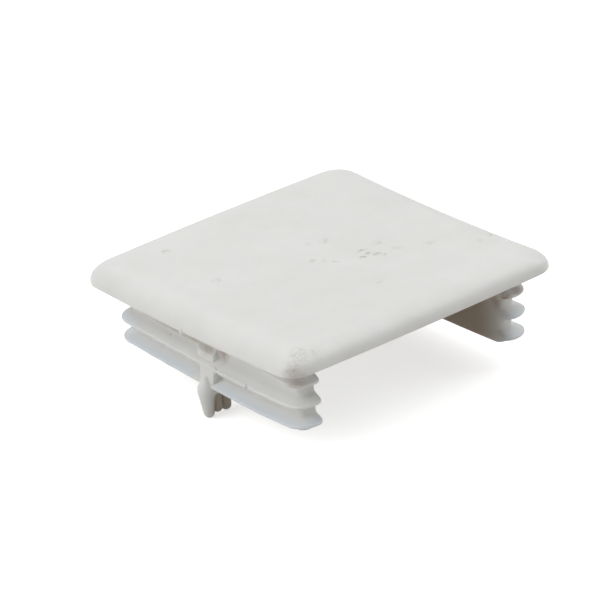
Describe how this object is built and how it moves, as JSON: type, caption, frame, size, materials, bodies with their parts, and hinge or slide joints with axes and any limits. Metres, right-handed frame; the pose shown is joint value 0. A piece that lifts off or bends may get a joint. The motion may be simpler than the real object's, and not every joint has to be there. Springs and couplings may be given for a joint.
{
  "type": "square tube end cap",
  "caption": "Pillow-topped square cap with two finned legs and a ribbed centre tongue, pressed into the open end of a square tube.",
  "frame": {"origin": "middle of the head's flat underside, which seats on the end of the tube", "axes": "+Z out of the tube through the head, +X along the legs, +Y from the leg with the tongue to the plain leg"},
  "size_m": [0.05, 0.05, 0.0183],
  "materials": {
    "white_plastic": "as moulded, matte, lightly marked from use"
  },
  "bodies": {
    "root": {"end_cap": "white_plastic"}
  },
  "joints": []
}
